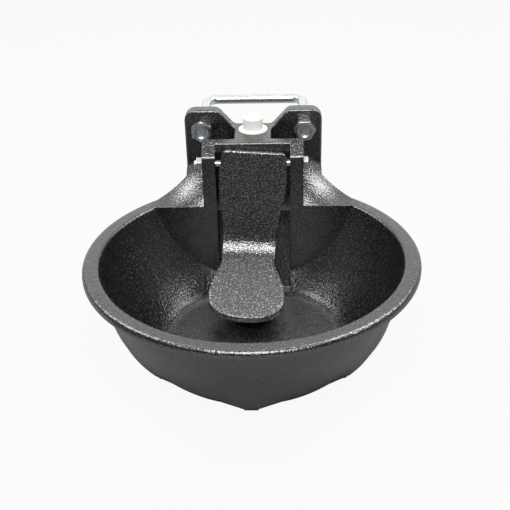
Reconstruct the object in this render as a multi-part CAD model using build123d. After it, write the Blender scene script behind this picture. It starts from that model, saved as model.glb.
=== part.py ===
from build123d import *
import math
import os

# Livestock drinking bowl: a cast-iron bowl with a paddle that pushes a water valve open.
# Millimetres. The origin is on the flat rear mounting face, midway between the two U-bolt
# holes. +Z is up, +Y points back into the post that the bowl hangs on, the bowl is at -Y.

# ---- bowl ----
rim_drop = 57.0               # U-bolt holes down to the top of the rim
rim_radius = 135.0            # outside of the rim
rim_width = 14.0              # flat top of the rim
rim_depth = 8.0               # height of the rim's rolled outer edge
rim_round = 3.4               # rounding of the rim's outer edges
wall_set_back = 11.0          # how far the wall under the rim stands back from its edge
bowl_height = 88.0            # rim top to the underside of the floor
base_radius = 82.0            # where the wall meets the floor, outside
wall_bulge = 8.0              # how far the wall bows out from a straight cone
bowl_wall = 6.0
floor_corner = 17.0           # inside round between wall and floor
reach = 137.0                 # mounting face to the bowl's axis
wall_ahead = 7.0              # pivot to the flat rear wall inside the bowl, in front of it

# ---- ribs under the bowl ----
rib_count = 6
rib_width = 11.0
rib_out = 6.5                 # how far a rib stands out of the wall at its foot
rib_bulge = 5.0               # a rib bows less than the wall, and comes out of it low down
rib_set_in = 1.5              # how far inside the wall a rib's upper end starts
foot_drop = 0.5               # height of the feet under the floor
foot_round = 4.0              # rounding of a rib's outer corner
rib_top_drop = 20.0           # rim top down to where a rib starts

# ---- neck: two cheeks, cross bar and water pillar ----
cheek_out = 44.0              # bowl's centre plane to the outer face of a cheek
cheek_wall = 11.5
cheek_front_z = -10.5         # top of a cheek's front edge
side_wall_z = -14.0           # top of the side walls behind the cheeks, clear of the nuts
cheek_nose_round = 3.0        # rounding where a cheek's top meets its front
saddle_z = 1.0                # flat top of bar, pillar and saddle
bar_round = 1.6
bar_gap = 0.3                 # paddle to the cross bar that it rests in front of
bar_depth = 9.7
pillar_radius = 16.0
pillar_y = -16.0              # axis of the vertical water passage
pillar_bottom_z = -97.0
form_overlap = 4.0            # depth that neighbouring casting forms share
shelf_back_z = -65.0          # floor of the recess at the plate
shelf_front_z = -71.0         # and at the front of the pillar
chute_foot = 56.0             # mounting face to where the chute meets the bowl's floor
recess_wall = 7.0
pocket_wall = 5.5             # cheek wall beside the pockets behind the bar

# ---- shoulders ----
shoulder_reach = 50.0         # how far a shoulder runs out from its cheek
shoulder_rise = 47.0          # how far it climbs the cheek at the plate
shoulder_sag = 5.5            # how far its slope sags below a straight one
shoulder_wall = 7.0
shoulder_set_in = 1.0         # shoulder behind the start of the rim's rounding

# ---- ear plate ----
plate_thickness = 11.0
ear_half_width = 61.5
ear_top_z = 17.3
ear_corner = 10.0
ear_side_foot = 17.0          # the inner side of an ear leans from here at the saddle
ear_side_top = 31.5           # to here at its top
ear_side_round = 9.0
ear_foot_round = 6.0
plate_bottom_z = -76.0
plate_bottom_corner = 14.0
plate_round = 2.0

# ---- threads and bores of the water way ----
pipe_thread_major = 20.955    # G 1/2
pipe_thread_minor = 18.63
inlet_thread_depth = 18.0
inlet_chamfer = 1.4
passage_radius = 8.6          # cored passage between the two inlet threads
valve_drop = 28.0             # pivot down to the valve's axis
valve_pad_radius = 15.5
valve_pad_reach = 18.0        # axis of the water passage to the face of the pad

# ---- pivot ----
pivot_z = -18.5
pin_diameter = 6.0
pin_running = 0.1             # radial gap of the pin in the cheeks
pivot_head_height = 4.0
pivot_head_flats = 10.0
pivot_nut_height = 5.0
pivot_nut_flats = 10.0
pivot_bolt_past_nut = 2.2

# ---- paddle ----
paddle_thickness = 6.0
paddle_top = 13.5             # pivot up to the paddle's top edge
paddle_top_width = 56.0
paddle_waist_width = 47.5
paddle_waist_drop = 73.0
paddle_widest = 58.5          # shoulders of the paddle's upper part
paddle_widest_drop = 22.0
paddle_pad_width = 66.0
paddle_corner = 5.0           # corners of the blade's top, seen from the front
paddle_edge = 1.8             # rounding of the cast edges
paddle_bend_drop = 64.0       # pivot down to where the bend starts
paddle_bend_radius = 20.0     # inside of the bend
pad_slope = 17.0              # degrees below level
pad_length = 69.0             # end of the bend to the tip
pad_widest = 43.5             # end of the bend to the pad's widest place
eye_radius = 8.0
eye_clear = 1.0               # paddle's eye to the underside of the cross bar
paddle_lean = 4.2             # degrees: it hangs askew on its slack pivot
eye_slack = 0.15
paddle_shift = 0.8            # it sits to one side between the cheeks
push_boss_radius = 8.0
push_boss_height = 1.5
stem_gap = 0.3                # paddle to valve stem at rest
stem_out = 3.0                # how far the stem stands out of the nozzle

# ---- U-bolt ----
u_bolt_spacing = 92.0
u_bolt_rod = 8.8
u_bolt_thread = 9.8
u_bolt_back = 66.5            # mounting face to the middle of the crossbar
u_bolt_bend = 11.0            # bend radius at the middle of the rod
u_bolt_thread_length = 48.0
ear_hole = 11.0
ear_nut_flats = 17.0
ear_nut_height = 8.0
nut_countersink = 0.9         # depth of the cone at each end of a nut's thread
stud_short = 1.6              # stud end below the nut's face
thread_gap = 0.03             # radial gap where a thread fills its nut or hole

# ---- inlet plug ----
plug_flange_radius = 12.9
plug_flange_height = 1.3
plug_cap_radius = 8.8
plug_cap_height = 10.5
plug_cap_wall = 1.6
plug_cap_depth = 6.0
plug_thread_length = 11.0

# ---- valve ----
gasket_height = 1.5
gasket_radius = 13.5
hex_flats = 24.0
hex_height = 6.0
valve_thread_length = 9.0
barrel_radius = 7.2
barrel_bore = 5.6
barrel_past = 3.6             # end of the barrel past the axis of the water passage
seat_bore = 3.7
seat_height = 2.0
seat_depth = 7.5              # pad face to the face that the rubber disc closes on
outlet_bore = 6.0
nozzle_height = 1.2
nose_radius = 9.5
guide_height = 4.0
guide_hub = 3.9
guide_rim = 0.9
guide_arm = 1.4
stem_radius = 2.5
stem_running = 0.1
spigot_radius = 1.5
spigot_length = 7.9           # seat to the end of the stem
disc_radius = 5.0
disc_height = 2.4
disc_gap = 0.1
backing_radius = 4.8
backing_height = 0.9
clip_height = 0.7
clip_radius = 3.0
clip_groove = 1.0
spring_wire = 0.8
spring_radius = 4.2
spring_turns = 4.5
spring_gap = 0.1
retainer_height = 1.6
retainer_hole = 1.1
retainer_holes = 6
retainer_circle = 3.7

# ---- places worked out from the sizes above ----
rim_z = -rim_drop
floor_z = rim_z - bowl_height + bowl_wall
under_z = rim_z - bowl_height
inner_radius = rim_radius - rim_width
cheek_in = cheek_out - cheek_wall
plate_front_y = -plate_thickness
valve_z = pivot_z - valve_drop
valve_pad_y = pillar_y - valve_pad_reach
hex_back_y = valve_pad_y - gasket_height
hex_front_y = hex_back_y - hex_height
nose_y = hex_front_y - nozzle_height
thread_radius = pipe_thread_major / 2 - thread_gap
thread_end_y = hex_back_y + gasket_height + valve_thread_length
stem_tip_y = nose_y - stem_out
paddle_back_y = stem_tip_y - stem_gap - push_boss_height
pivot_y = paddle_back_y - paddle_thickness + eye_radius
rear_wall_y = pivot_y - wall_ahead
bowl_y = -reach
bar_front_y = paddle_back_y + bar_gap
bar_back_y = bar_front_y + bar_depth
eye_rise = paddle_top_width / 2 * math.sin(math.radians(paddle_lean))
bar_bottom_z = pivot_z + eye_radius + eye_rise + eye_clear
seat_y = valve_pad_y + seat_depth
spigot_end_y = seat_y + spigot_length
barrel_end_y = pillar_y + barrel_past
disc_y = seat_y + disc_gap
clip_y = disc_y + disc_height + backing_height
retainer_y = barrel_end_y - retainer_height
bowl_axis = Location((0, bowl_y, rim_z))
pivot = Location((0, pivot_y, pivot_z))


def closed(*lines):
    """Flat face inside a closed chain of lines and arcs."""
    return Face(Wire([edge for line in lines for edge in line.edges()]))


def bowed(start, end, bow):
    """Curve from start to end that stands out by bow on its left-hand side."""
    run = Vector(end) - Vector(start)
    side = Vector(-run.Y, run.X, 0).normalized()
    middle = (Vector(start) + Vector(end)) / 2 + side * bow
    return Spline(start, (middle.X, middle.Y), end)


def upright(face_xz, y, z=0.0):
    """Face drawn as (x, z), stood up across the centre plane at y."""
    return Plane((0, y, z), x_dir=(1, 0, 0), z_dir=(0, -1, 0)) * face_xz


def rounded(*corners):
    """Flat face through corners given as (first, second, radius)."""
    points = [corner[:2] for corner in corners]
    radii = [corner[2] for corner in corners]
    return closed(FilletPolyline(*points, radius=radii, close=True))


def block(x0, x1, y0, y1, z0, z1):
    """Box between two corners."""
    middle = Pos((x0 + x1) / 2, (y0 + y1) / 2, (z0 + z1) / 2)
    return middle * Box(x1 - x0, y1 - y0, z1 - z0)


def rod_y(radius, y0, y1, x=0.0, z=0.0):
    """Round bar along Y."""
    middle = Pos(x, (y0 + y1) / 2, z) * Rot(90, 0, 0)
    return middle * Cylinder(radius, abs(y1 - y0))


def rod_z(radius, z0, z1, x=0.0, y=0.0):
    """Round bar along Z."""
    return Pos(x, y, (z0 + z1) / 2) * Cylinder(radius, z1 - z0)


def side_slab(face_yz, half_width):
    """Solid with the same side view, drawn as (y, z), from -half_width to +half_width."""
    return extrude(Plane.YZ * face_yz, amount=half_width, both=True)


def both_sides(solid):
    """The solid and its mirror image in the centre plane."""
    return [solid, mirror(solid, about=Plane.YZ)]


def hexagon(flats, height, bore_radius, chamfer_size=0.5):
    """Hexagon nut blank that stands on Z = 0, with turned chamfers on both faces."""
    corner = flats / math.sqrt(3)
    blank = extrude(RegularPolygon(corner, 6), height)
    turned = Cylinder(corner, height, align=(Align.CENTER, Align.CENTER, Align.MIN))
    turned = chamfer(turned.edges().filter_by(GeomType.CIRCLE), chamfer_size, chamfer_size * 1.6)
    nut = blank & turned
    if bore_radius:
        cone = Cone(bore_radius + nut_countersink, bore_radius, nut_countersink)
        low_end = Pos(0, 0, nut_countersink / 2) * cone
        top_end = Pos(0, 0, height - nut_countersink / 2) * Rot(180, 0, 0) * cone
        nut = nut.cut(Cylinder(bore_radius, 3 * height), low_end, top_end)
    return nut


# ---- bowl casting ----
def bowl_outside():
    """Outside of the bowl, filled: round wall cut flat behind, under a full round rim."""
    wall_top = (rim_radius - wall_set_back, -rim_depth)
    foot = (base_radius, -bowl_height)
    wall = closed(
        Polyline((0, 0), (wall_top[0], 0), wall_top),
        bowed(wall_top, foot, wall_bulge),
        Polyline(foot, (0, -bowl_height), (0, 0)),
    )
    foot_corner = wall.vertices().sort_by(Axis.Y)[0:2].sort_by(Axis.X)[-1:]
    wall = wall.fillet_2d(bowl_wall, foot_corner)
    wall = bowl_axis * revolve(Plane.XZ * wall, Axis.Z)
    wall &= block(-rim_radius, rim_radius, bowl_y - rim_radius, rear_wall_y + bowl_wall, under_z - 1, 0)
    rim = bowl_axis * Pos(0, 0, -rim_depth / 2) * Cylinder(rim_radius, rim_depth)
    rim = fillet(rim.edges().filter_by(GeomType.CIRCLE), rim_round)
    return wall + rim


def bowl_inside():
    """Space inside the bowl, open upwards, with a flat rear wall."""
    lip = rim_round
    wall_foot = (base_radius - bowl_wall, bowl_wall - bowl_height)
    space = closed(
        Polyline((0, 200), (inner_radius + lip, 200), (inner_radius + lip, 0)),
        ThreePointArc(
            (inner_radius + lip, 0),
            (inner_radius + lip * (1 - math.sqrt(0.5)), lip * (math.sqrt(0.5) - 1)),
            (inner_radius, -lip),
        ),
        bowed((inner_radius, -lip), wall_foot, wall_bulge),
        Polyline(wall_foot, (0, wall_foot[1]), (0, 200)),
    )
    foot_corner = space.vertices().sort_by(Axis.Y)[0:2].sort_by(Axis.X)[-1:]
    space = space.fillet_2d(floor_corner, foot_corner)
    space = bowl_axis * revolve(Plane.XZ * space, Axis.Z)
    return space & block(-200, 200, bowl_y - 200, rear_wall_y, under_z, 200)


def ribs():
    """Low ribs down the wall that end in feet. None stands where the neck is."""
    start = (rim_radius - wall_set_back - rib_set_in, -rim_depth)
    foot = (base_radius + rib_out, -bowl_height - foot_drop)
    inner_end = (base_radius - 2 * rib_width, -bowl_height - foot_drop)
    side = closed(
        bowed(start, foot, rib_bulge),
        Polyline(foot, inner_end, (inner_end[0], -rib_top_drop), start),
    )
    outer_foot = side.vertices().sort_by(Axis.Y)[0:2].sort_by(Axis.X)[-1:]
    side = side.fillet_2d(foot_round, outer_foot)
    rib = extrude(Plane.XZ * side, amount=rib_width / 2, both=True)
    step = 360 / rib_count
    angles = [step * index - 90 for index in range(rib_count)]
    return [bowl_axis * Rot(0, 0, angle) * rib for angle in angles if abs(angle - 90) > 1]


def recess_side():
    """Side view (y, z) of the recess behind the paddle: shelf round the pillar, then a chute."""
    pillar_front_y = pillar_y - pillar_radius
    points = [
        (rear_wall_y - 2 * recess_wall, 100),
        (rear_wall_y - 2 * recess_wall, floor_z),
        (-chute_foot, floor_z),
        (pillar_front_y, shelf_front_z),
        (plate_front_y, shelf_back_z),
        (plate_front_y, 100),
    ]
    return closed(Polyline(*points, close=True))


def neck():
    """Cheeks, side walls and floor of the recess, from the bowl's rear wall to the plate."""
    walls = offset(recess_side(), recess_wall, kind=Kind.INTERSECTION)
    top = closed(Polyline(
        (rear_wall_y, under_z),
        (rear_wall_y, cheek_front_z),
        (bar_back_y, saddle_z),
        (bar_back_y, side_wall_z),
        (0, side_wall_z),
        (0, under_z),
        close=True,
    ))
    side = walls & top
    nose = side.vertices().group_by(Axis.X)[0].sort_by(Axis.Y)[-1]
    return side_slab(fillet(nose, cheek_nose_round), cheek_out)


def deck():
    """Flat top between the cheeks: cross bar, and the web from it to the pillar."""
    bar = block(-cheek_in, cheek_in, bar_front_y, bar_back_y, bar_bottom_z, saddle_z)
    front_edge = bar.edges().filter_by(Axis.X).group_by(Axis.Z)[-1].sort_by(Axis.Y)[0]
    bar = fillet(front_edge, bar_round)
    web = block(-pillar_radius, pillar_radius, bar_back_y - 1, pillar_y, bar_bottom_z, saddle_z)
    return [bar, web]


def pillar():
    """Upright water passage with the pad that the valve screws into."""
    post = rod_z(pillar_radius, pillar_bottom_z, saddle_z, y=pillar_y)
    pad = rod_y(valve_pad_radius, valve_pad_y, pillar_y, z=valve_z)
    return [post, pad]


def ear_plate():
    """Rear plate that carries the bowl, with an ear for each leg of the U-bolt."""
    right = [
        (ear_side_foot, saddle_z, ear_foot_round),
        (ear_side_top, ear_top_z, ear_side_round),
        (ear_half_width, ear_top_z, ear_corner),
        (ear_half_width, plate_bottom_z, plate_bottom_corner),
    ]
    left = [(-x, z, radius) for x, z, radius in reversed(right)]
    plate = extrude(upright(rounded(*right, *left), 0), amount=plate_thickness, dir=(0, -1, 0))
    front_edges = plate.edges().group_by(Axis.Y)[0]
    return fillet(front_edges, plate_round)


def shoulder_form(drop, inset):
    """Right-hand shoulder, filled: level at the rear wall, climbing the cheek towards the plate."""
    root_x = cheek_out - form_overlap
    tip_x = cheek_out + shoulder_reach
    low = -rim_depth / 2 - drop
    level = closed(Polyline((root_x, low), (tip_x, low), (tip_x, -drop), (root_x, -drop), close=True))
    climbing = closed(
        Polyline((root_x, -drop + shoulder_rise), (root_x, low), (tip_x, low), (tip_x, -drop)),
        bowed((tip_x, -drop), (root_x, -drop + shoulder_rise), shoulder_sag),
    )
    form = loft([upright(level, rear_wall_y, rim_z), upright(climbing, plate_front_y, rim_z)], ruled=True)
    edge_radius = rim_radius - rim_round - shoulder_set_in - inset
    round_edge = rod_z(edge_radius, -200, 100, y=bowl_y)
    beside_plate = block(0, ear_half_width - inset, rear_wall_y, plate_front_y, -200, 100)
    return form & (round_edge + beside_plate)


def recess_space():
    """Recess between the cheeks, wider behind the cross bar, where the pockets open upwards."""
    front = side_slab(recess_side(), cheek_in)
    behind_bar = block(-200, 200, bar_back_y, plate_front_y, under_z, 200)
    return front + (side_slab(recess_side(), cheek_out - pocket_wall) & behind_bar)


def water_way():
    """Cored passage with a pipe thread at each end, and the threaded hole for the valve."""
    thread = pipe_thread_minor / 2
    passage = rod_z(passage_radius, pillar_bottom_z, saddle_z, y=pillar_y)
    end = Cylinder(thread, inlet_thread_depth, align=(Align.CENTER, Align.CENTER, Align.MIN))
    end += Cone(thread + inlet_chamfer, thread, inlet_chamfer, align=(Align.CENTER, Align.CENTER, Align.MIN))
    low_end = Pos(0, pillar_y, pillar_bottom_z) * end
    top_end = Pos(0, pillar_y, saddle_z) * Rot(180, 0, 0) * end
    valve_hole = rod_y(pipe_thread_major / 2, valve_pad_y - 1, pillar_y, z=valve_z)
    return [passage, low_end, top_end, valve_hole]


def casting():
    """The one iron casting: bowl, ribs, neck, shoulders, water pillar and ear plate."""
    solid = bowl_outside()
    solid = solid.fuse(*ribs())
    outer_shoulder = shoulder_form(0, 0)
    behind_wall = block(cheek_out, 200, rear_wall_y + bowl_wall, plate_front_y, -200, 100)
    under_shoulder = shoulder_form(shoulder_wall, shoulder_wall) & behind_wall
    solid = solid.fuse(*both_sides(outer_shoulder))
    solid = solid.cut(*both_sides(under_shoulder))
    solid = solid.fuse(neck(), ear_plate())
    solid = solid.cut(bowl_inside(), recess_space())
    solid = solid.fuse(*deck(), *pillar())
    pin_hole = Cylinder(pin_diameter / 2 + pin_running, 3 * cheek_out)
    ear_holes = [
        rod_y(ear_hole / 2, -2 * plate_thickness, plate_thickness, x=side * u_bolt_spacing / 2)
        for side in (-1, 1)
    ]
    solid = solid.cut(*water_way(), pivot * Rot(0, 90, 0) * pin_hole, *ear_holes)
    return solid


# ---- paddle ----
def paddle_blade():
    """Upright blade and the bend under it, about the pivot."""
    face_y = -eye_radius
    bend_y = face_y - paddle_bend_radius
    turn = math.radians(90 - pad_slope)

    def on_bend(radius, angle):
        return (bend_y + radius * math.cos(angle), -paddle_bend_drop - radius * math.sin(angle))

    def bend_arc(radius):
        return ThreePointArc(on_bend(radius, 0), on_bend(radius, turn / 2), on_bend(radius, turn))

    inner = paddle_bend_radius
    outer = paddle_bend_radius + paddle_thickness
    side = closed(
        Polyline(on_bend(inner, 0), (face_y, paddle_top), (face_y + paddle_thickness, paddle_top),
                 on_bend(outer, 0)),
        bend_arc(outer),
        Polyline(on_bend(outer, turn), on_bend(inner, turn)),
        bend_arc(inner),
    )
    top_corners = side.vertices().group_by(Axis.Y)[-1]
    side = side.fillet_2d(paddle_edge, top_corners)
    half_top = paddle_top_width / 2
    half_waist = paddle_waist_width / 2
    low_z = -2 * paddle_waist_drop
    front = closed(
        Polyline((0, low_z), (0, paddle_top), (half_top, paddle_top)),
        Spline(
            (half_top, paddle_top),
            (paddle_widest / 2, -paddle_widest_drop),
            (half_waist, -paddle_waist_drop),
            tangents=[(0.05, -1), (0, -1)],
        ),
        Polyline((half_waist, -paddle_waist_drop), (half_waist, low_z), (0, low_z)),
    )
    corner = front.vertices().group_by(Axis.Y)[-1].sort_by(Axis.X)[-1]
    front = front.fillet_2d(paddle_corner, [corner])
    right = side_slab(side, paddle_widest) & extrude(upright(front, 0), amount=100, both=True)
    return right.fuse(mirror(right, about=Plane.YZ)), on_bend(inner, turn)


def paddle_pad(start):
    """Round pad that slopes forward from the end of the bend at start, given as (y, z)."""
    slope = math.radians(pad_slope)
    half_waist = paddle_waist_width / 2
    half_pad = paddle_pad_width / 2
    outline = closed(
        Polyline((0, 0), (half_waist, 0)),
        Spline((half_waist, 0), (half_pad, pad_widest), tangents=[(0.12, 1), (0, 1)]),
        Spline((half_pad, pad_widest), (0, pad_length), tangents=[(0, 1.5), (-1.5, 0)]),
        Polyline((0, pad_length), (0, 0)),
    )
    top = Plane((0, *start), x_dir=(1, 0, 0), z_dir=(0, math.sin(slope), -math.cos(slope)))
    right = extrude(top * outline, amount=paddle_thickness, dir=top.z_dir)
    upper = right.faces().filter_by(GeomType.PLANE).sort_by(lambda face: face.normal_at().dot(top.z_dir))[0]
    right = fillet(upper.edges().filter_by(GeomType.BSPLINE), paddle_edge)
    return right.fuse(mirror(right, about=Plane.YZ))


def paddle():
    """Cast tongue: blade, bend and pad, an eye for the pivot and a boss for the valve stem."""
    blade, bend_end = paddle_blade()
    back_y = paddle_thickness - eye_radius
    boss = rod_y(push_boss_radius, back_y - 1, back_y + push_boss_height, z=-valve_drop)
    eye = Rot(0, 90, 0) * Cylinder(eye_radius, paddle_top_width)
    lean = math.radians(paddle_lean)
    eye_bore = pin_diameter / 2 + paddle_top_width / 2 * math.tan(lean) + eye_slack
    bore = Rot(0, 90, 0) * Cylinder(eye_bore, 2 * paddle_top_width)
    solid = blade.fuse(paddle_pad(bend_end), boss, eye).cut(bore)
    return pivot * Pos(paddle_shift, 0, 0) * Rot(0, paddle_lean, 0) * solid


# ---- pivot ----
def pivot_bolt():
    """Hexagon bolt through both cheeks, its head on the right."""
    head = hexagon(pivot_head_flats, pivot_head_height, 0)
    tip = cheek_out + pivot_nut_height + pivot_bolt_past_nut
    shank = Pos(0, 0, -tip) * Cylinder(
        pin_diameter / 2, tip + cheek_out, align=(Align.CENTER, Align.CENTER, Align.MIN)
    )
    end = shank.edges().filter_by(GeomType.CIRCLE).sort_by(Axis.Z)[0]
    shank = chamfer(end, pin_diameter / 8)
    bolt = shank + Pos(0, 0, cheek_out) * head
    return pivot * Rot(0, 90, 0) * bolt


def pivot_nut():
    """Nut on the left-hand end of the pivot bolt."""
    nut = hexagon(pivot_nut_flats, pivot_nut_height, pin_diameter / 2 + thread_gap)
    return pivot * Pos(-cheek_out, 0, 0) * Rot(0, -90, 0) * nut


# ---- U-bolt ----
def u_bolt():
    """Bent rod with square shoulders and a rolled thread on each leg."""
    half = u_bolt_spacing / 2
    end_y = plate_front_y - ear_nut_height + stud_short
    path = FilletPolyline(
        (-half, end_y), (-half, u_bolt_back), (half, u_bolt_back), (half, end_y),
        radius=u_bolt_bend,
    )
    section = Plane((-half, end_y, 0), z_dir=(0, 1, 0)) * Circle(u_bolt_rod / 2)
    rod = sweep(section, path=path)
    thread = rod_y(u_bolt_thread / 2, end_y, end_y + u_bolt_thread_length, x=half)
    ends = thread.edges().filter_by(GeomType.CIRCLE)
    thread = chamfer(ends, (u_bolt_thread - u_bolt_rod) / 2 * 0.9)
    return rod.fuse(*both_sides(thread))


def ear_nuts():
    """Nuts on the U-bolt. Each has been turned to its own angle by the spanner."""
    nut = hexagon(ear_nut_flats, ear_nut_height, u_bolt_thread / 2 + thread_gap)
    seat = Pos(0, plate_front_y, 0)
    return [
        seat * Pos(side * u_bolt_spacing / 2, 0, 0) * Rot(90, 0, 0) * Rot(0, 0, angle) * nut
        for side, angle in ((-1, 30), (1, 2))
    ]


# ---- inlet plug ----
def inlet_plug():
    """Plastic plug in the upper inlet: threaded shank, flange and hollow cap."""
    flange = rod_z(plug_flange_radius, 0, plug_flange_height)
    flange = fillet(flange.edges().filter_by(GeomType.CIRCLE).sort_by(Axis.Z)[-1], 0.5)
    cap_top = plug_flange_height + plug_cap_height
    cap = rod_z(plug_cap_radius, 0, cap_top)
    cap = fillet(cap.edges().filter_by(GeomType.CIRCLE).sort_by(Axis.Z)[-1], 0.7)
    shank = rod_z(pipe_thread_minor / 2 - thread_gap, -plug_thread_length, 0)
    shank = chamfer(shank.edges().filter_by(GeomType.CIRCLE).sort_by(Axis.Z)[0], 1.0)
    hollow = rod_z(plug_cap_radius - plug_cap_wall, -plug_thread_length - 1, -plug_thread_length + plug_cap_depth)
    return Pos(0, pillar_y, saddle_z) * (flange + cap + shank - hollow)


# ---- valve ----
def turned(*steps):
    """Round part about the valve's axis, from its closed outline of (y, radius) corners."""
    half_section = Plane((0, 0, valve_z), x_dir=(0, 1, 0), z_dir=(1, 0, 0))
    face = half_section * closed(Polyline(*steps, close=True))
    return revolve(face, Axis((0, 0, valve_z), (0, 1, 0)))


def tube(y0, y1, outer_radius, bore_radius):
    """Plain ring about the valve's axis."""
    return turned((y0, bore_radius), (y0, outer_radius), (y1, outer_radius), (y1, bore_radius))


def valve_body():
    """Brass valve: nose, hexagon, pipe thread and barrel around one stepped bore."""
    shell = turned(
        (nose_y, outlet_bore), (nose_y, nose_radius), (hex_front_y, nose_radius),
        (hex_front_y, thread_radius), (thread_end_y, thread_radius), (thread_end_y, barrel_radius),
        (barrel_end_y, barrel_radius), (barrel_end_y, barrel_bore), (seat_y, barrel_bore),
        (seat_y, seat_bore), (seat_y - seat_height, seat_bore), (seat_y - seat_height, outlet_bore),
    )
    flats = hexagon(hex_flats, hex_height, thread_radius - 1)
    return shell + Pos(0, hex_front_y, valve_z) * Rot(-90, 0, 0) * flats


def valve_gasket():
    """Fibre ring between the valve's hexagon and the casting."""
    return tube(hex_back_y, valve_pad_y, gasket_radius, thread_radius + stem_running)


def stem_guide():
    """Spider in the valve's nose that guides the stem and lets the water past."""
    back_y = nose_y + guide_height
    rim_bore = outlet_bore - guide_rim
    ring = tube(nose_y, back_y, outlet_bore - thread_gap, rim_bore)
    hub = tube(nose_y, back_y, guide_hub, stem_radius + stem_running)
    arm_middle = (rim_bore + guide_hub) / 2
    arm = Box(rim_bore - guide_hub + guide_rim, guide_height, guide_arm)
    arms = []
    for index in range(3):
        turn = Rot(0, 120 * index + 90, 0)
        arms.append(Pos(0, (nose_y + back_y) / 2, valve_z) * turn * Pos(arm_middle, 0, 0) * arm)
    return ring.fuse(hub, *arms)


def valve_stem():
    """Steel stem: the paddle pushes its tip, and its spigot carries the rubber disc."""
    stem = turned(
        (stem_tip_y, 0), (stem_tip_y, stem_radius - 1), (stem_tip_y + 1, stem_radius),
        (disc_y, stem_radius), (disc_y, spigot_radius), (clip_y, spigot_radius),
        (clip_y, clip_groove), (clip_y + clip_height, clip_groove),
        (clip_y + clip_height, spigot_radius), (spigot_end_y, spigot_radius), (spigot_end_y, 0),
    )
    return stem


def seal_disc():
    """Rubber disc that closes the seat."""
    return tube(disc_y, disc_y + disc_height, disc_radius, spigot_radius + thread_gap)


def seal_backing():
    """Brass washer behind the rubber disc; the spring stands on it."""
    return tube(disc_y + disc_height, clip_y, backing_radius, spigot_radius + thread_gap)


def stem_clip():
    """Open spring clip in the groove of the spigot."""
    ring = tube(clip_y, clip_y + clip_height, clip_radius, clip_groove + thread_gap)
    mouth = block(-clip_groove, clip_groove, clip_y - 1, clip_y + 1 + clip_height,
                  valve_z, valve_z + 2 * clip_radius)
    return ring - mouth


def valve_spring():
    """Round-wire spring between the backing washer and the retainer."""
    start_y = clip_y + spring_gap + spring_wire / 2
    length = retainer_y - spring_gap - spring_wire / 2 - start_y
    path = Helix(length / spring_turns, length, spring_radius)
    section = Plane(path @ 0, z_dir=path % 0) * Circle(spring_wire / 2)
    coil = sweep(section, path=path, is_frenet=True)
    return Pos(0, start_y, valve_z) * Rot(-90, 0, 0) * coil


def spring_retainer():
    """Perforated disc that closes the barrel and holds the spring."""
    disc = rod_y(barrel_bore - thread_gap, retainer_y, barrel_end_y, z=valve_z)
    hole = rod_y(retainer_hole, retainer_y - 1, barrel_end_y + 1)
    holes = [
        Pos(0, 0, valve_z) * Rot(0, 360 / retainer_holes * index, 0) * Pos(retainer_circle, 0, 0) * hole
        for index in range(retainer_holes)
    ]
    return disc.cut(*holes, Pos(0, 0, valve_z) * hole)


# ---- all nodes ----
NODES = {
    "bowl_casting": casting,
    "paddle": paddle,
    "pivot_bolt": pivot_bolt,
    "pivot_nut": pivot_nut,
    "u_bolt": u_bolt,
    "u_bolt_nuts": ear_nuts,
    "inlet_plug": inlet_plug,
    "valve_body": valve_body,
    "valve_gasket": valve_gasket,
    "stem_guide": stem_guide,
    "valve_stem": valve_stem,
    "seal_disc": seal_disc,
    "seal_backing": seal_backing,
    "stem_clip": stem_clip,
    "valve_spring": valve_spring,
    "spring_retainer": spring_retainer,
}

os.makedirs("parts", exist_ok=True)
for name, make in NODES.items():
    made = make()
    solids = made if isinstance(made, list) else [made]
    shape = Compound(children=solids) if len(solids) > 1 else solids[0]
    shape.label = name
    export_step(shape, f"parts/{name}.step")
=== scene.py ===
import math
import bpy
import numpy as np
from mathutils import Matrix, Vector


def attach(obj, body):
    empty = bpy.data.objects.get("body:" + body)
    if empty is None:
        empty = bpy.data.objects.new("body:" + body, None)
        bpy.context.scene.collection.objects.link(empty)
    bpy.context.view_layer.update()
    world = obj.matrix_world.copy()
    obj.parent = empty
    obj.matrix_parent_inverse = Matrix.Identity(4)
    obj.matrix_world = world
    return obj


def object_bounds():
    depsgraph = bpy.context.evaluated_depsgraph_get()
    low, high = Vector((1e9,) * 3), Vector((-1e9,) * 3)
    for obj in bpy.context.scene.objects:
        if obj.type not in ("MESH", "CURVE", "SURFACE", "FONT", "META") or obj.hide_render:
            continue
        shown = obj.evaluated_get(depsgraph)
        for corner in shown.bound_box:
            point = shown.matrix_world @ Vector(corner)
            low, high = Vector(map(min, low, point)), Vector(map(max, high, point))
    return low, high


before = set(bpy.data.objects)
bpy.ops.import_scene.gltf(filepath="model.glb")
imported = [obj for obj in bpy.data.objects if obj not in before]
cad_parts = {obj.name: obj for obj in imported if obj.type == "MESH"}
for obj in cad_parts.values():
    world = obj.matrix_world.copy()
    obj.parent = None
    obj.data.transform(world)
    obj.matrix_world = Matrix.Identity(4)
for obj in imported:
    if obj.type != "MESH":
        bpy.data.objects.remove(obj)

cad_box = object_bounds()

# ---- The castings -------------------------------------------------------------------
# Bowl, neck and ear plate are one grey-iron sand casting and the paddle is another, both
# dipped in black paint. The paint keeps the grain of the sand, a fine, half-glossy orange
# peel, and shows small silvery flecks, brightest on the paddle, which muzzles rub.

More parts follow.
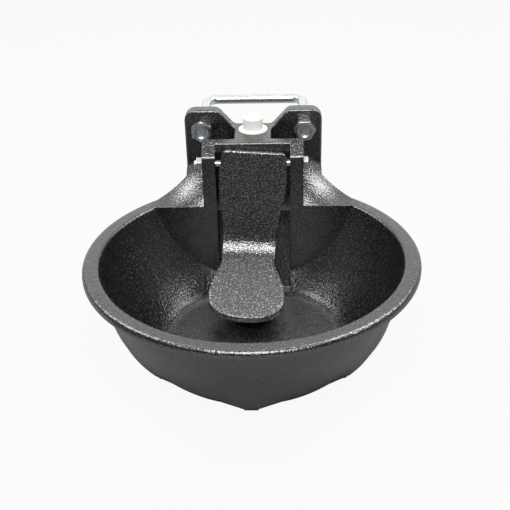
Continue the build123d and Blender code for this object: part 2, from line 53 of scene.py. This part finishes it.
lumps_per_m, swells_per_m, pits_per_m = 600, 95, 70
flecks_per_m, worn_patches_per_m, gloss_patches_per_m = 820, 26, 180
swell_height, pit_depth = 1.5, 0.8           # as shares of the lumps' height
pit_centre, pit_edge = 0.06, 0.16            # distances from a cell's point, in cells
fleck_ramp, fleck_metal = 0.13, 0.9          # noise from a fleck's edge to its full tone
thick_paint, thin_paint = (0.0035, 0.0037, 0.0034, 1), (0.007, 0.0072, 0.0067, 1)
paint_roughness, paint_ior = (0.18, 0.27), 2.0
cast_edge_round = 0.0011
casting_fleck_start, casting_fleck_tone, casting_grain = 0.61, (0.22, 0.225, 0.215, 1), 0.0002
paddle_fleck_start, paddle_fleck_tone, paddle_grain = 0.57, (0.42, 0.425, 0.415, 1), 0.00026


class Wire:
    """A node socket that takes part in Python expressions: each operator adds its Math node."""

    def __init__(self, tree, socket):
        self.tree, self.socket = tree, socket

    def node(self, kind, settings=None, out=0, **inputs):
        """Add a node of any kind: its settings first, then the values or links of its sockets,
        which go by name, or by number as i0, i1 and so on."""
        made = self.tree.nodes.new(kind)
        for name, value in (settings or {}).items():
            setattr(made, name, value)
        for name, value in inputs.items():
            numbered = name[0] == "i" and name[1:].isdigit()
            target = made.inputs[int(name[1:]) if numbered else name.replace("_", " ")]
            if isinstance(value, Wire):
                self.tree.links.new(value.socket, target)
            else:
                target.default_value = value
        return Wire(self.tree, made.outputs[out])

    def math(self, operation, first, second):
        return self.node("ShaderNodeMath", {"operation": operation}, i0=first, i1=second)

    def __add__(self, other): return self.math("ADD", self, other)
    __radd__ = __add__
    def __mul__(self, other): return self.math("MULTIPLY", self, other)
    __rmul__ = __mul__
    def __sub__(self, other): return self.math("SUBTRACT", self, other)
    def __rsub__(self, other): return self.math("SUBTRACT", other, self)

    def span(self, low, high, to_low=0.0, to_high=1.0):
        """Straight-line change of range, held at its ends."""
        return self.node("ShaderNodeMapRange", {"clamp": True},
                         Value=self, From_Min=low, From_Max=high, To_Min=to_low, To_Max=to_high)

    def vary(self, low=0.0, high=1.0):
        """This noise, which lies mostly between 0.3 and 0.7, stretched from low to high."""
        return self.span(0.3, 0.7, low, high)

    def noise(self, per_m, detail=2.0, roughness=0.5):
        """Noise over this vector, with per_m features in a metre."""
        return self.node("ShaderNodeTexNoise", Vector=self, Scale=per_m, Detail=detail,
                         Roughness=roughness)

    def mix(self, first, second):
        """Blend of two colours by this factor."""
        return self.node("ShaderNodeMix", {"data_type": "RGBA"}, out=2, i0=self, i6=first, i7=second)

    def bump(self, height_m, strength=1.0, **more):
        """Normal of a surface raised by this value times height_m."""
        return self.node("ShaderNodeBump", Strength=strength, Distance=height_m, Height=self, **more)

    def rounded(self, radius, samples):
        """Normal of a surface whose edges are rounded to the radius."""
        return self.node("ShaderNodeBevel", {"samples": samples}, Radius=radius)


def finish(name, build, **sockets):
    """Material whose surface is one Principled shader: build gives what varies, sockets the rest."""
    made = bpy.data.materials.new(name)
    made.use_nodes = True
    tree = made.node_tree
    shader = tree.nodes["Principled BSDF"]
    for socket, value in sockets.items():
        shader.inputs[socket.replace("_", " ")].default_value = value
    place = Wire(tree, tree.nodes.new("ShaderNodeTexCoord").outputs["Object"])
    for socket, wire in build(place).items():
        tree.links.new(wire.socket, shader.inputs[socket])
    return made


def dress(material, *nodes):
    """Give the named pieces this finish."""
    for node in nodes:
        for slot in bpy.data.objects[node].material_slots:
            slot.material = material


def sand_skin(fleck_start, fleck_tone, grain):
    """Paint over sand: its height, in units of grain, is lumps under 2 mm wide, plus soft
    swells and round pits; flecks show where a finer noise passes fleck_start."""
    def build(place):
        lumps = place.noise(lumps_per_m).span(0.25, 0.75)
        swells = place.noise(swells_per_m)
        cells = place.node("ShaderNodeTexVoronoi", {"feature": "F1"}, Vector=place,
                           Scale=pits_per_m, Randomness=1.0)
        height = lumps + swells * swell_height + cells.span(pit_centre, pit_edge) * pit_depth
        flecks = place.noise(flecks_per_m, detail=1.0).span(fleck_start, fleck_start + fleck_ramp)
        worn = place.noise(worn_patches_per_m, detail=4.0, roughness=0.6).span(0.45, 0.75)
        return {"Base Color": flecks.mix(worn.mix(thick_paint, thin_paint), fleck_tone),
                "Metallic": flecks * fleck_metal,
                "Roughness": place.noise(gloss_patches_per_m, detail=3.0).vary(*paint_roughness),
                "Normal": height.bump(grain, Normal=place.rounded(cast_edge_round, samples=4))}
    return build


iron_paint = finish("black_paint_on_sand_casting",
                    sand_skin(casting_fleck_start, casting_fleck_tone, casting_grain), IOR=paint_ior)
paddle_paint = finish("rubbed_paint_on_the_paddle",
                      sand_skin(paddle_fleck_start, paddle_fleck_tone, paddle_grain), IOR=paint_ior)
dress(iron_paint, "bowl_casting")
dress(paddle_paint, "paddle")

# ---- The ribs -----------------------------------------------------------------------
# Five low ribs run down the wall of the bowl and end in its feet. They are cast with it, so
# each is flat over its middle and runs out to the wall on both sides, in the same paint.

bowl_y = -0.137                                   # the bowl's axis
wall_top, wall_foot = np.array([0.124, -0.065]), np.array([0.082, -0.145])    # radius and level
wall_bow, wall_sole_z, wall_foot_round = 0.008, -0.1444, 0.006
rib_top, rib_foot = np.array([0.1225, -0.065]), np.array([0.0885, -0.1454])
rib_bow, rib_foot_round, rib_half_width = 0.0075, 0.004, 0.0058
sole_inner_radius = 0.062
sink = np.array([-0.0007, 0.0002])                # the ribs' edges lie this far inside the wall
least_rise = 0.0001                               # and a rib's middle at least this far out of them
side_ends, corner_start = (0.02, 0.97), 0.5       # shares of the side; radians below level
side_rows, corner_rows, sole_rows, flank_columns = 44, 9, 3, 14
ribs_in_a_ring = 6                                # the neck stands in the place of one


def bowed(start, end, bow, along):
    """Points at shares along of a straight run that stands out by a parabola of height bow."""
    run = end - start
    out = np.array([-run[1], run[0]]) / np.hypot(*run)
    return start + along[:, None] * run + (4 * bow * along * (1 - along))[:, None] * out


def under_foot(radius, level, corner):
    """Points round the circle in a foot's corner to its lowest point, then level inwards."""
    angle = np.linspace(corner_start, 0.5 * np.pi, corner_rows)
    centre = np.array([radius - corner, level + corner])
    arc = centre + corner * np.stack([np.cos(angle), -np.sin(angle)], 1)
    return np.concatenate([arc, np.linspace(arc[-1], (sole_inner_radius, level), sole_rows + 1)[1:]])


def rib_shape():
    """Radius, level and angle aside of a rib's points, row by row down its side, round its foot
    and in under it. Its middle is a strip; from the strip's edges, flanks fall to the sunk
    wall as planes that touch it, so a point's radius is the wall's over the cosine of its
    angle from there. Each row then runs back inside the wall."""
    along = np.linspace(*side_ends, side_rows)
    along = along[bowed(rib_top, rib_foot, rib_bow, along)[:, 1] > rib_foot[1] + rib_foot_round]
    strip = np.concatenate([bowed(rib_top, rib_foot, rib_bow, along),
                            under_foot(rib_foot[0], rib_foot[1], rib_foot_round)])
    base = sink + np.concatenate([bowed(wall_top, wall_foot, wall_bow, along),
                                  under_foot(wall_foot[0], wall_sole_z, wall_foot_round)])
    strip[:, 0] = np.maximum(strip[:, 0], base[:, 0] + least_rise)
    edge = np.stack([np.hypot(strip[:, 0], rib_half_width), strip[:, 1]], 1)
    spread = np.arccos(base[:, 0] / edge[:, 0])
    spread[len(along):] = spread[len(along) - 1]
    share = np.linspace(0, 1, flank_columns)
    touch = np.cos(spread)[:, None]
    rise = (touch / np.cos(spread[:, None] * (1 - share)) - touch) / (1 - touch)
    flank = base[:, None] + rise[..., None] * (edge - base)[:, None]
    aside = np.arctan2(rib_half_width, strip[:, 0])[:, None] + spread[:, None] * share
    face = np.concatenate([flank[:, ::-1], flank], axis=1)
    aside = np.concatenate([-aside[:, ::-1], aside], axis=1)
    back = np.repeat((base + 2 * sink)[:, None], face.shape[1], axis=1)
    section = np.concatenate([face, back], axis=1)
    return section[..., 0], section[..., 1], np.concatenate([aside, aside[:, ::-1]], axis=1)


def closed_mesh(name, grid):
    """Quads between the neighbouring points of a grid whose rows close on themselves, and
    across its first and its last row, whose second half runs back under the first."""
    rows, columns = grid.shape[:2]
    index = np.arange(rows * columns).reshape(rows, columns)
    after = np.roll(index, -1, axis=1)
    quads = np.stack([index[:-1], index[1:], after[1:], after[:-1]], -1).reshape(-1, 4)
    out, home = index[:, :columns // 2], index[:, :columns // 2 - 1:-1]
    first, last = (np.stack([out[row, :-1], out[row, 1:], home[row, 1:], home[row, :-1]], -1)
                   for row in (0, -1))
    faces = np.concatenate([quads, first, last[:, ::-1]])
    mesh = bpy.data.meshes.new(name)
    mesh.from_pydata(grid.reshape(-1, 3).tolist(), [], faces.tolist())
    mesh.polygons.foreach_set("use_smooth", np.ones(len(faces), dtype=bool))
    return mesh


rib_radius, rib_level, rib_aside = rib_shape()
for number in range(1, ribs_in_a_ring):
    around = math.radians(90 + 360 / ribs_in_a_ring * number) + rib_aside
    points = np.stack([rib_radius * np.cos(around), rib_radius * np.sin(around) + bowl_y, rib_level], -1)
    rib = bpy.data.objects.new(f"cast_rib_{number}", closed_mesh(f"cast_rib_{number}", points))
    rib.data.materials.append(iron_paint)
    bpy.context.collection.objects.link(rib)
    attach(rib, "bowl")

# ---- The fastenings -----------------------------------------------------------------
# U-bolt, nuts and pivot bolt are mild steel, cold formed and turned, then zinc plated and
# passivated, which leaves a bluish silver with a slight grey bloom.

dull_zinc, bright_zinc, zinc_roughness = (0.60, 0.64, 0.67, 1), (0.74, 0.775, 0.80, 1), (0.26, 0.36)
zinc_blooms_per_m, zinc_grains_per_m, zinc_grain, zinc_edge_round = 240, 1600, 0.00004, 0.0008


def zinc_skin(place):
    """Plating: fine drawn grain and a soft cloudy bloom in tone and gloss."""
    bloom = place.noise(zinc_blooms_per_m, detail=3.0, roughness=0.6)
    grain = place.noise(zinc_grains_per_m)
    return {"Base Color": bloom.vary().mix(dull_zinc, bright_zinc),
            "Roughness": bloom.vary(*zinc_roughness),
            "Normal": grain.bump(zinc_grain, strength=0.6,
                                 Normal=place.rounded(zinc_edge_round, samples=6))}


zinc = finish("zinc_plate", zinc_skin, Metallic=1.0)
dress(zinc, "u_bolt", "u_bolt_nuts", "pivot_bolt", "pivot_nut")

# ---- The inlet plug -----------------------------------------------------------------
# A moulded white polyethylene cap with a flange closes the inlet that isn't used. The
# plastic is waxy and lets a little light through.

dull_white, clear_white, plug_roughness = (0.76, 0.755, 0.725, 1), (0.80, 0.795, 0.77, 1), (0.36, 0.46)
flow_marks_per_m, flow_mark_height = 300, 0.00004
light_let_in, light_reach = 0.25, 0.004


def moulded_skin(place):
    """Moulded plastic: nearly smooth, with faint flow marks."""
    flow = place.noise(flow_marks_per_m)
    return {"Base Color": flow.vary().mix(dull_white, clear_white),
            "Roughness": flow.vary(*plug_roughness),
            "Normal": flow.bump(flow_mark_height, strength=0.5)}


plug_white = finish("white_polyethylene", moulded_skin,
                    Subsurface_Weight=light_let_in, Subsurface_Scale=light_reach)
dress(plug_white, "inlet_plug")

# ---- The valve ----------------------------------------------------------------------
# The body, stem guide, backing and spring cap are turned or stamped brass; the stem, clip
# and spring are stainless; the gasket and the seal disc are black rubber.

yellow_brass, brown_brass = (0.70, 0.52, 0.24, 1), (0.50, 0.36, 0.17, 1)
dark_stainless, light_stainless = (0.55, 0.55, 0.56, 1), (0.64, 0.64, 0.65, 1)
black_gum, grey_gum = (0.016, 0.016, 0.016, 1), (0.03, 0.03, 0.03, 1)
brass_blooms_per_m, turning_marks_per_m, drawing_marks_per_m, gum_grains_per_m = 160, 2200, 1800, 1400
metal_mark, gum_grain = 0.00003, 0.00005
least_metal_roughness, least_gum_roughness = 0.24, 0.5
brass_dulling, stainless_dulling, gum_dulling = 0.18, 0.1, 0.2


def brass_skin(place):
    """Turned brass: fine marks and a little brown bloom."""
    bloom = place.noise(brass_blooms_per_m, detail=4.0, roughness=0.6).span(0.35, 0.7)
    marks = place.noise(turning_marks_per_m, detail=1.0)
    return {"Base Color": bloom.mix(yellow_brass, brown_brass),
            "Roughness": bloom * brass_dulling + least_metal_roughness,
            "Normal": marks.bump(metal_mark, strength=0.6)}


def stainless_skin(place):
    """Drawn stainless steel: fine marks, even tone."""
    marks = place.noise(drawing_marks_per_m)
    return {"Base Color": marks.vary().mix(dark_stainless, light_stainless),
            "Roughness": marks * stainless_dulling + least_metal_roughness,
            "Normal": marks.bump(metal_mark, strength=0.5)}


def rubber_skin(place):
    """Moulded rubber: dull, with a fine even grain."""
    grain = place.noise(gum_grains_per_m)
    return {"Base Color": grain.vary().mix(black_gum, grey_gum),
            "Roughness": grain * gum_dulling + least_gum_roughness,
            "Normal": grain.bump(gum_grain, strength=0.6)}


brass = finish("turned_brass", brass_skin, Metallic=1.0)
stainless = finish("stainless_steel", stainless_skin, Metallic=1.0)
rubber = finish("black_rubber", rubber_skin)
dress(brass, "valve_body", "stem_guide", "seal_backing", "spring_retainer")
dress(stainless, "valve_stem", "stem_clip", "valve_spring")
dress(rubber, "valve_gasket", "seal_disc")

# ---- Floor, light and camera --------------------------------------------------------
# The bowl stands on a pale table in a room that is dark in front and pale behind. A softbox
# in front draws the highlights, a wide low one behind greys the level faces, and three
# weaker ones, at the sides and overhead, fill in.

floor_z, floor_reach = cad_box[0][2], 6.0
table_tone, table_roughness = (0.3, 0.3, 0.3, 1), 0.9
table_glow = 0.93                                 # share of plain white that the camera sees


def on_rays(tree, kind):
    """1 on rays of this kind, such as Is Camera Ray, and 0 on the rest."""
    return Wire(tree, tree.nodes.new("ShaderNodeLightPath").outputs[kind])


def by_depth(tree, coordinates, start, end, front, back):
    """The value front up to y = start, back from y = end on, and a straight line between."""
    place = Wire(tree, tree.nodes.new("ShaderNodeTexCoord").outputs[coordinates])
    return place.node("ShaderNodeSeparateXYZ", out=1, Vector=place).span(start, end, front, back)


floor_mesh = bpy.data.meshes.new("floor")
floor_mesh.from_pydata([(x * floor_reach, y * floor_reach, floor_z)
                        for x, y in ((-1, -1), (1, -1), (1, 1), (-1, 1))], [], [(0, 1, 2, 3)])
floor = bpy.data.objects.new("floor", floor_mesh)
bpy.context.collection.objects.link(floor)

table = bpy.data.materials.new("pale_table")
table.use_nodes = True
table_tree = table.node_tree
table_skin = table_tree.nodes["Principled BSDF"]
table_skin.inputs["Base Color"].default_value = table_tone
table_skin.inputs["Roughness"].default_value = table_roughness
white = table_tree.nodes.new("ShaderNodeEmission")
white.inputs["Strength"].default_value = 1.0
blend = table_tree.nodes.new("ShaderNodeMixShader")
gloss_share = by_depth(table_tree, "Object", -0.05, 0.35, front=0.0, back=0.8)
white_share = (on_rays(table_tree, "Is Camera Ray") * table_glow
               + on_rays(table_tree, "Is Glossy Ray") * gloss_share)
table_tree.links.new(white_share.socket, blend.inputs[0])
table_tree.links.new(table_skin.outputs[0], blend.inputs[1])
table_tree.links.new(white.outputs[0], blend.inputs[2])
table_tree.links.new(blend.outputs[0], table_tree.nodes["Material Output"].inputs["Surface"])
floor_mesh.materials.append(table)

world = bpy.data.worlds.new("pale_room")
bpy.context.scene.world = world
world.use_nodes = True
world_tree = world.node_tree
room = world_tree.nodes["Background"]
room.inputs["Color"].default_value = (1, 1, 1, 1)
room_light = by_depth(world_tree, "Generated", -0.5, 0.6, front=0.06, back=0.5)
room_seen = room_light + on_rays(world_tree, "Is Camera Ray") * (1.0 - room_light)
world_tree.links.new(room_seen.socket, room.inputs["Strength"])


bowl_middle = Vector((0.0, bowl_y, -0.09))


def softbox(name, place, size, watts):
    """Rectangular soft light that hangs at place and points at the middle of the bowl."""
    lamp = bpy.data.lights.new(name, "AREA")
    lamp.shape, lamp.size, lamp.size_y, lamp.energy = "RECTANGLE", size[0], size[1], watts
    hung = bpy.data.objects.new(name, lamp)
    hung.location = place
    hung.rotation_euler = (bowl_middle - Vector(place)).to_track_quat("-Z", "Y").to_euler()
    bpy.context.collection.objects.link(hung)


softbox("left", (-0.75, 0.2, 0.92), (0.5, 0.5), 7.0)
softbox("right", (0.75, 0.2, 0.92), (0.5, 0.5), 8.0)
softbox("front", (0.0, -0.80, 0.93), (0.75, 0.65), 17.0)
softbox("overhead", (0.0, 0.45, 1.05), (1.0, 0.8), 2.5)
softbox("behind", (0.0, 1.45, 0.5), (2.8, 0.9), 6.0)

camera_place = (0.0228, -0.7515, 0.2924)
tilt, turn, roll = 29.714, 1.857, 1.446           # degrees down, left and clockwise
focal_px, frame_px, sensor_mm = 880.23, 510.0, 36.0
camera_data = bpy.data.cameras.new("camera")
camera_data.sensor_width = sensor_mm
camera_data.lens = sensor_mm * focal_px / frame_px
camera_data.clip_start = 0.01
camera = bpy.data.objects.new("camera", camera_data)
bpy.context.collection.objects.link(camera)
turned = Matrix.Rotation(math.radians(turn), 4, "Z")
tilted = Matrix.Rotation(math.radians(90 - tilt), 4, "X")
rolled = Matrix.Rotation(math.radians(-roll), 4, "Z")
camera.matrix_world = Matrix.Translation(camera_place) @ turned @ tilted @ rolled
bpy.context.scene.camera = camera
bpy.context.scene.view_settings.view_transform = "Standard"
